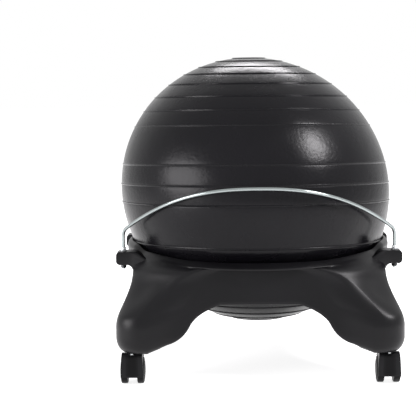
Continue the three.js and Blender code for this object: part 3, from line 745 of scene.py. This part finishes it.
def lug_loop(x, side_x, side_y):
    """The section of a lug with rounded edges, of which the upper front one grows on the web."""
    front, back, bottom, top = lug_section(x)
    web_edge = lerp(LUG_EDGE, WEB_EDGE, faded(x, WEB_EDGE_START, WEB_EDGE_RUN))
    corners = [
        (front - web_edge, top - web_edge, web_edge),
        (back + LUG_EDGE, top - LUG_EDGE, LUG_EDGE),
        (back + LUG_EDGE, bottom + LUG_EDGE, LUG_EDGE),
        (front - LUG_EDGE, bottom + LUG_EDGE, LUG_EDGE),
    ]
    loop = []
    for quarter, (y, z, edge) in enumerate(corners):
        for i in range(LUG_EDGE_STEPS + 1):
            a = QUARTER_TURN * (quarter + i / LUG_EDGE_STEPS)
            loop.append((side_x * x, side_y * (y + edge * math.cos(a)), z + edge * math.sin(a)))
    return loop


def make_lug(name, side_x, side_y, look):
    """Loft from the outer end of the lug inwards, where its front sweeps into the leg."""
    places = []
    for i in range(LUG_END_STEPS + 1):
        places.append(LUG_OUTER - LUG_END * (1 - math.cos(QUARTER_TURN * i / LUG_END_STEPS)))
    for i in range(1, LUG_STEPS + 1):
        places.append(lerp(LUG_OUTER - LUG_END, LUG_INNER, i / LUG_STEPS))
    loops = [lug_loop(x, side_x, side_y) for x in places]
    lug = link(name, lofted(name, loops, "capped"), look)
    centre = (side_x * BAR_HALF, side_y * LUG_Y, 0)
    cut_away(lug, [cylinder_tool(ROD_HOLE, ROD_HOLE_START, ROD_HOLE_END, "Z", centre, sides=32)])
    shade(lug.data, SHARP_ANGLE)
    soften(lug, width=1.5 * MM, segments=3, angle=40)
    settle(lug, "base", ["base_shell"])


CORNERS = {
    "front_left": (-1, -1),
    "front_right": (1, -1),
    "rear_left": (-1, 1),
    "rear_right": (1, 1),
}
STEM_X, STEM_Y = 234.02 * MM, 226.42 * MM
SOCKET_HOLE, SOCKET_HOLE_START, SOCKET_TOP = 7.8 * MM, 40 * MM, 106 * MM
BASE_SHARP_ANGLE = 38


def make_base(look):
    base = link("base_moulding", base_mesh(), look, BASE_SHARP_ANGLE)
    holes = []
    for x, y in CORNERS.values():
        centre = (x * STEM_X, y * STEM_Y, 0)
        hole = cylinder_tool(SOCKET_HOLE, SOCKET_HOLE_START, SOCKET_TOP, "Z", centre, sides=48)
        holes.append(hole)
    cut_away(base, holes)
    shade(base.data, BASE_SHARP_ANGLE)
    settle(base, "base", ["base_shell"])
    for corner, (x, y) in CORNERS.items():
        make_lug("lug_" + corner, x, y, look)


# Bar
BAR_RADIUS, BAR_SIDES, BAR_SKEW = 3.2 * MM, 24, 2 * MM
BAR_BOTTOM, BAR_CORNER = 199 * MM, 271 * MM
BAR_BEND, BAR_BEND_SHARE = 11 * MM, 0.7
BOW_REACH, BOW_TOP, BOW_POWER = 271.5 * MM, 363.4 * MM, 2.45
BAR_LEG_STEPS, BAR_BEND_STEPS, BOW_STEPS = 12, 8, 60


def bar_bow(x):
    """The middle of the rod on its bow, which passes a little to the left at its top."""
    t = abs(x / BAR_HALF) ** BOW_POWER
    return Vector((x - BAR_SKEW * (1 - t), -lerp(BOW_REACH, LUG_Y, t), lerp(BOW_TOP, BAR_CORNER, t)))


def bar_path():
    """Straight legs, rounded upper bends, and one bow round the front of the ball."""
    start = BAR_HALF - BAR_BEND * BAR_BEND_SHARE
    corner = Vector((-BAR_HALF, -LUG_Y, BAR_CORNER))
    leg = []
    for i in range(BAR_LEG_STEPS + 1):
        height = lerp(BAR_BOTTOM, BAR_CORNER - BAR_BEND, i / BAR_LEG_STEPS)
        leg.append(Vector((-BAR_HALF, -LUG_Y, height)))
    turn = [
        bend(leg[-1], corner, bar_bow(-start), i / BAR_BEND_STEPS) for i in range(1, BAR_BEND_STEPS)
    ]
    left = [bar_bow(-start * (1 - i / BOW_STEPS)) for i in range(BOW_STEPS)]
    right = [bar_bow(start * (1 - i / BOW_STEPS)) for i in range(BOW_STEPS)]
    other = [Vector((-p.x, p.y, p.z)) for p in leg + turn]
    return leg + turn + left + [bar_bow(0)] + right[::-1] + other[::-1]


def make_bar(look):
    """A round tube along the path, whose sections keep their sides in line."""
    path = bar_path()
    loops = []
    side_way = Vector((0, -1, 0))
    for i, point in enumerate(path):
        before = path[max(0, i - 1)]
        after = path[min(len(path) - 1, i + 1)]
        along = (after - before).normalized()
        side_way = (side_way - along * side_way.dot(along)).normalized()
        other = along.cross(side_way)
        loop = []
        for k in range(BAR_SIDES):
            a = FULL_TURN * k / BAR_SIDES
            loop.append(point + BAR_RADIUS * (math.cos(a) * side_way + math.sin(a) * other))
        loops.append(loop)
    bar = link("bent_rod", lofted("bent_rod", loops, "capped"), look, sharp=50)
    soften(bar, width=0.6 * MM, segments=2, angle=50)
    settle(bar, "base", ["retaining_bar"])


# Fasteners
FASTENER_GAP, FASTENER_BORE = 0.3 * MM, 3.5 * MM
WASHER_RADIUS, WASHER_HEIGHT, WASHER_ROUNDING = 6.5 * MM, 1.2 * MM, 0.25 * MM
NUT_FLATS, NUT_RADIUS, NUT_HEIGHT, NUT_CHAMFER = 10 * MM, 6 * MM, 5 * MM, 0.6 * MM
NUT_FACE_RADIUS, NUT_ROUND_BELOW = 0.485 * NUT_FLATS, 0.45 * NUT_FLATS
SIDES = {"left": -1, "right": 1}


def hexagon(radius, angle):
    """How far a nut reaches at an angle: its bore is round, and a circle cuts its corners."""
    if radius < NUT_ROUND_BELOW:
        return radius
    around = (angle + math.pi / 6) % (math.pi / 3) - math.pi / 6
    return min(radius, NUT_FLATS / 2 / math.cos(around))


def washer_mesh(start, up):
    end = start + up * WASHER_HEIGHT
    profile = [
        (FASTENER_BORE, start),
        (WASHER_RADIUS, start),
        (WASHER_RADIUS, end),
        (FASTENER_BORE, end),
        (FASTENER_BORE, start),
    ]
    return turned("washer", rounded(profile, WASHER_ROUNDING)[:-1], sides=64)


def nut_mesh(start, up):
    end = start + up * NUT_HEIGHT
    chamfer = up * NUT_CHAMFER
    profile = [
        (FASTENER_BORE, start),
        (NUT_FACE_RADIUS, start),
        (NUT_RADIUS, start + chamfer),
        (NUT_RADIUS, end - chamfer),
        (NUT_FACE_RADIUS, end),
        (FASTENER_BORE, end),
    ]
    return turned("nut", profile, sides=72, radius_at=hexagon)


def make_fasteners(looks):
    levels = [
        ("upper", LUG_TOP + FASTENER_GAP, 1, "zinc", "zinc_fastener"),
        ("lower", LUG_TOP - LUG_HEIGHT - FASTENER_GAP, -1, "black_steel", "black_fastener"),
    ]
    for label, side in SIDES.items():
        place = Matrix.Translation((side * BAR_HALF, -LUG_Y, 0))
        for level, start, up, nut_look, nut_slot in levels:
            mesh = washer_mesh(start, up)
            mesh.transform(place)
            washer = link(f"{level}_washer_disc_{label}", mesh, looks["zinc"], sharp=40)
            settle(washer, "base", [f"{level}_washer_{label}"])
            mesh = nut_mesh(start + up * (WASHER_HEIGHT + FASTENER_GAP), up)
            mesh.transform(place)
            nut = link(f"{level}_hex_nut_{label}", mesh, looks[nut_look], sharp=30)
            settle(nut, "base", [f"{level}_nut_{label}"])


# Casters
TRAIL, WHEEL_RADIUS = 18 * MM, 24.5 * MM
AXLE_PLACE = (0, TRAIL, WHEEL_RADIUS)
CASTER_GAP, CASTER_ROUNDING = 0.3 * MM, 0.3 * MM
FLANGE_TOP = FOOT_BOTTOM - CASTER_GAP
FLANGE_BOTTOM = FLANGE_TOP - 1.4 * MM
HOOD_TOP = FLANGE_BOTTOM - CASTER_GAP
HOOD_OUTER, HOOD_BOSS = WHEEL_RADIUS + 3.7 * MM, 13.5 * MM
HOOD_BACK_ANGLE, HOOD_FRONT_ANGLE = degrees(60), degrees(198)
HOOD_BACK_Y, HOOD_BACK_STEPS, HOOD_CORNER = 6 * MM, 8, 9 * MM
HOOD_HALF, HOOD_TOP_HALF, HOOD_NARROWS = 20.9 * MM, 18.6 * MM, 36 * MM
BAY_RADIUS, BAY_START, BAY_END = WHEEL_RADIUS + 1.1 * MM, 7.8 * MM, 30 * MM
DIP_RADIUS, DIP_LIFT, DIP_FRONT, DIP_BACK = 12 * MM, 9 * MM, -40 * MM, 60 * MM
AXLE_BORE, AXLE_RADIUS, AXLE_REACH = 3.25 * MM, 3 * MM, 16.8 * MM
STEM_BORE, STEM_BORE_DEPTH, STEM_BORE_RISE = 5.5 * MM, 14.3 * MM, 5 * MM
STEM_RADIUS, STEM_GROOVE, STEM_TIP = 5.2 * MM, 4.3 * MM, 3.6 * MM
STEM_ROOT, STEM_TOP = HOOD_TOP - 14 * MM, 98 * MM
STEM_GROOVE_START, STEM_GROOVE_END, STEM_CONE = 12 * MM, 8 * MM, 1.6 * MM
SOCKET_BORE, SOCKET_RADIUS, FLANGE_RADIUS = 5.6 * MM, 7.5 * MM, 9.5 * MM
WHEEL_ROUNDING = 0.5 * MM

# One wheel of a pair, as (radius, distance from the caster's middle) in millimetres
WHEEL_PROFILE = [(0, 17.1), (3.25, 17.1), (3.25, 8.6), (6.5, 8.6), (7.5, 9.4), (20.5, 9.4)]
WHEEL_PROFILE += [(23.1, 8.6), (24.5, 10), (24.5, 19.2), (23.2, 20.6), (21.6, 21.1), (21.0, 20.5)]
WHEEL_PROFILE += [(17.5, 21.0), (17, 22), (8.8, 22.7), (8.3, 22.2), (7.8, 22.9), (0, 23)]


def arc(centre, radius, start, end, steps):
    """Points on an arc in a side view, both ends included."""
    points = []
    for i in range(steps + 1):
        a = lerp(start, end, i / steps)
        points.append((centre[0] + radius * math.cos(a), centre[1] + radius * math.sin(a)))
    return points


def hood_outline():
    """Side view of the hood: boss, rear lip, top, front corner and front."""
    axle = (TRAIL, WHEEL_RADIUS)
    points = arc(axle, HOOD_BOSS, HOOD_FRONT_ANGLE, FULL_TURN + HOOD_BACK_ANGLE, steps=28)
    lip_y = TRAIL + HOOD_OUTER * math.cos(HOOD_BACK_ANGLE)
    lip_z = WHEEL_RADIUS + HOOD_OUTER * math.sin(HOOD_BACK_ANGLE)
    for i in range(HOOD_BACK_STEPS + 1):
        t = i / HOOD_BACK_STEPS
        points.append((lerp(lip_y, HOOD_BACK_Y, t), lerp(lip_z, HOOD_TOP, t)))
    corner = (TRAIL - HOOD_OUTER + HOOD_CORNER, HOOD_TOP - HOOD_CORNER)
    points += arc(corner, HOOD_CORNER, QUARTER_TURN, math.pi, steps=10)
    points += arc(axle, HOOD_OUTER, math.pi, HOOD_FRONT_ANGLE, steps=5)
    return points


def hood_mesh():
    """The outline swept across the hood, narrower towards the top."""
    loops = []
    for share in (-1, -0.5, 0, 0.5, 1):
        loop = []
        for y, z in hood_outline():
            rise = min(1, max(0, (z - HOOD_NARROWS) / (HOOD_TOP - HOOD_NARROWS)))
            loop.append((share * HOOD_HALF * lerp(1, HOOD_TOP_HALF / HOOD_HALF, rise), y, z))
        loops.append(loop)
    return lofted("hood", loops, "capped")


def shared_hood(look):
    """The hood's mesh with its wheel bays, the dip in its top and its two bores cut out."""
    hood = link("hood_pattern", hood_mesh(), look)
    tools = [
        cylinder_tool(BAY_RADIUS, side * BAY_START, side * BAY_END, "X", AXLE_PLACE, sides=96)
        for side in (-1, 1)
    ]
    dip = cylinder_tool(DIP_RADIUS, DIP_FRONT, DIP_BACK, "Z", (0, 0, 0), sides=96)
    dip.data.transform(Matrix.Rotation(-QUARTER_TURN, 4, "X"))
    dip.data.transform(Matrix.Translation((0, 0, HOOD_TOP + DIP_LIFT)))
    axle = cylinder_tool(AXLE_BORE, -BAY_END, BAY_END, "X", AXLE_PLACE, sides=32)
    start, end = HOOD_TOP - STEM_BORE_DEPTH, HOOD_TOP + STEM_BORE_RISE
    stem = cylinder_tool(STEM_BORE, start, end, "Z", (0, 0, 0), sides=48)
    cut_away(hood, [*tools, dip, axle, stem])
    mesh = hood.data
    bpy.data.objects.remove(hood)
    return mesh


def wheel_mesh(side):
    mesh = turned("wheel", rounded(scaled(WHEEL_PROFILE), WHEEL_ROUNDING, steps=2), sides=72)
    mesh.transform(Matrix.Rotation(QUARTER_TURN, 4, "Y"))
    if side < 0:
        mesh.transform(Matrix.Scale(-1, 4, (1, 0, 0)))
        mesh.flip_normals()
    mesh.transform(Matrix.Translation(AXLE_PLACE))
    return mesh


def socket_mesh():
    profile = [
        (SOCKET_BORE, FLANGE_BOTTOM),
        (FLANGE_RADIUS, FLANGE_BOTTOM),
        (FLANGE_RADIUS, FLANGE_TOP),
        (SOCKET_RADIUS, FLANGE_TOP),
        (SOCKET_RADIUS, SOCKET_TOP),
        (SOCKET_BORE, SOCKET_TOP),
        (SOCKET_BORE, FLANGE_BOTTOM),
    ]
    return turned("socket", rounded(profile, CASTER_ROUNDING)[:-1], sides=48)


def stem_mesh():
    profile = [
        (0, STEM_ROOT),
        (STEM_RADIUS, STEM_ROOT),
        (STEM_RADIUS, STEM_TOP - STEM_GROOVE_START),
        (STEM_GROOVE, STEM_TOP - STEM_GROOVE_START),
        (STEM_GROOVE, STEM_TOP - STEM_GROOVE_END),
        (STEM_RADIUS, STEM_TOP - STEM_GROOVE_END),
        (STEM_RADIUS, STEM_TOP - STEM_CONE),
        (STEM_TIP, STEM_TOP),
        (0, STEM_TOP),
    ]
    return turned("stem", rounded(profile, CASTER_ROUNDING), sides=48)


def axle_mesh():
    profile = [
        (0, -AXLE_REACH),
        (AXLE_RADIUS, -AXLE_REACH),
        (AXLE_RADIUS, AXLE_REACH),
        (0, AXLE_REACH),
    ]
    mesh = turned("axle", rounded(profile, CASTER_ROUNDING), sides=32)
    mesh.transform(Matrix.Rotation(QUARTER_TURN, 4, "Y"))
    mesh.transform(Matrix.Translation(AXLE_PLACE))
    return mesh


def placed(name, mesh, place, look, sharp=SHARP_ANGLE):
    """A piece from its own copy of a mesh, moved to its place."""
    copy = mesh.copy()
    copy.transform(place)
    return link(name, copy, look, sharp)


def make_casters(looks):
    hood, axle, socket, stem = shared_hood(looks["nylon"]), axle_mesh(), socket_mesh(), stem_mesh()
    for corner, (x, y) in CORNERS.items():
        place = Matrix.Translation((x * STEM_X, y * STEM_Y, 0))
        body = "caster_" + corner
        cover = placed("hood_cover_" + corner, hood, place, looks["nylon"], sharp=40)
        soften(cover, width=0.9 * MM, segments=3, angle=40)
        settle(cover, body, ["caster_hood_" + corner])
        pin = placed("axle_pin_" + corner, axle, place, looks["zinc"])
        settle(pin, body, ["caster_axle_" + corner])
        post = placed("stem_post_" + corner, stem, place, looks["zinc"])
        settle(post, body, ["caster_stem_" + corner])
        sleeve = placed("socket_sleeve_" + corner, socket, place, looks["nylon"])
        settle(sleeve, "base", ["caster_socket_" + corner])
        for label, side in SIDES.items():
            name = f"{corner}_{label}"
            wheel = placed("tyre_" + name, wheel_mesh(side), place, looks["tread"], sharp=40)
            settle(wheel, "wheel_" + name, ["wheel_" + name])


# Stage
WORLD_LIGHT = 0.3
FLOOR_GREY, FLOOR_ROUGHNESS, FLOOR_GLOW, FLOOR_REACH = 0.93, 0.9, 0.82, 14
LAMP_COLOUR, LAMP_TARGET = (1.0, 0.975, 1.0), (0, 0, 0.33)

LAMPS = {
    "key": {
        "direction": (0.7, -0.39, 0.58),
        "distance": 2.4,
        "size": (0.62, 0.76),
        "power": 54,
    },
    "side_fill": {
        "direction": (-0.88, -0.49, 0.17),
        "distance": 2.6,
        "size": (1.7, 1.3),
        "power": 50,
    },
    "back_top": {
        "direction": (0.05, 0.75, 0.8),
        "distance": 2.6,
        "size": (1.5, 0.45),
        "power": 33,
    },
}


def seen_directly(tree):
    """1 for what the camera, a reflection or a glass sees, and 0 for light on surfaces."""
    path = tree.nodes.new("ShaderNodeLightPath")
    last = path.outputs["Is Camera Ray"]
    for output in ("Is Glossy Ray", "Is Transmission Ray"):
        total = tree.nodes.new("ShaderNodeMath")
        total.operation = "ADD"
        total.use_clamp = True
        tree.links.new(last, total.inputs[0])
        tree.links.new(path.outputs[output], total.inputs[1])
        last = total.outputs[0]
    return last


def make_world():
    """A background that is seen as white and lights the chair with much less."""
    world = bpy.data.worlds.new("studio")
    bpy.context.scene.world = world
    world.use_nodes = True
    tree = world.node_tree
    tree.nodes.clear()
    white = tree.nodes.new("ShaderNodeBackground")
    white.inputs["Strength"].default_value = 1
    light = tree.nodes.new("ShaderNodeBackground")
    light.inputs["Strength"].default_value = WORLD_LIGHT
    for node in (white, light):
        node.inputs["Color"].default_value = WHITE
    mix = tree.nodes.new("ShaderNodeMixShader")
    out = tree.nodes.new("ShaderNodeOutputWorld")
    tree.links.new(seen_directly(tree), mix.inputs[0])
    tree.links.new(light.outputs[0], mix.inputs[1])
    tree.links.new(white.outputs[0], mix.inputs[2])
    tree.links.new(mix.outputs[0], out.inputs[0])


def make_floor():
    """A pale floor that keeps the shadow; its glow is seen but lights no surface."""
    made, shader = material("pale_floor", (FLOOR_GREY,) * 3, FLOOR_ROUGHNESS, specular=0.0)
    shader.inputs["Emission Color"].default_value = WHITE
    tree = made.node_tree
    glow = tree.nodes.new("ShaderNodeMath")
    glow.operation = "MULTIPLY"
    glow.inputs[1].default_value = FLOOR_GLOW
    tree.links.new(seen_directly(tree), glow.inputs[0])
    tree.links.new(glow.outputs[0], shader.inputs["Emission Strength"])
    reach = FLOOR_REACH
    corners = [(-reach, -reach, 0), (reach, -reach, 0), (reach, reach, 0), (-reach, reach, 0)]
    floor = link("floor", mesh_of("floor", corners, [(0, 1, 2, 3)]), made)


def softbox(name, direction, distance, size, power):
    lamp = bpy.data.lights.new(name, "AREA")
    lamp.shape = "ELLIPSE"
    lamp.size, lamp.size_y = size
    lamp.energy = power
    lamp.color = LAMP_COLOUR
    box = bpy.data.objects.new(name, lamp)
    way = Vector(direction).normalized()
    box.location = Vector(LAMP_TARGET) + way * distance
    box.rotation_euler = way.to_track_quat("Z", "Y").to_euler()
    box.visible_camera = False
    bpy.context.scene.collection.objects.link(box)


def make_lights():
    for name, values in LAMPS.items():
        softbox(name, **values)


bpy.context.scene.view_settings.view_transform = "Standard"
make_camera()
looks = make_looks()
make_ball(looks["vinyl"])
make_plug(looks["plug"])
make_base(looks["moulding"])
make_bar(looks["rod"])
make_fasteners(looks)
make_casters(looks)
make_world()
make_floor()
make_lights()
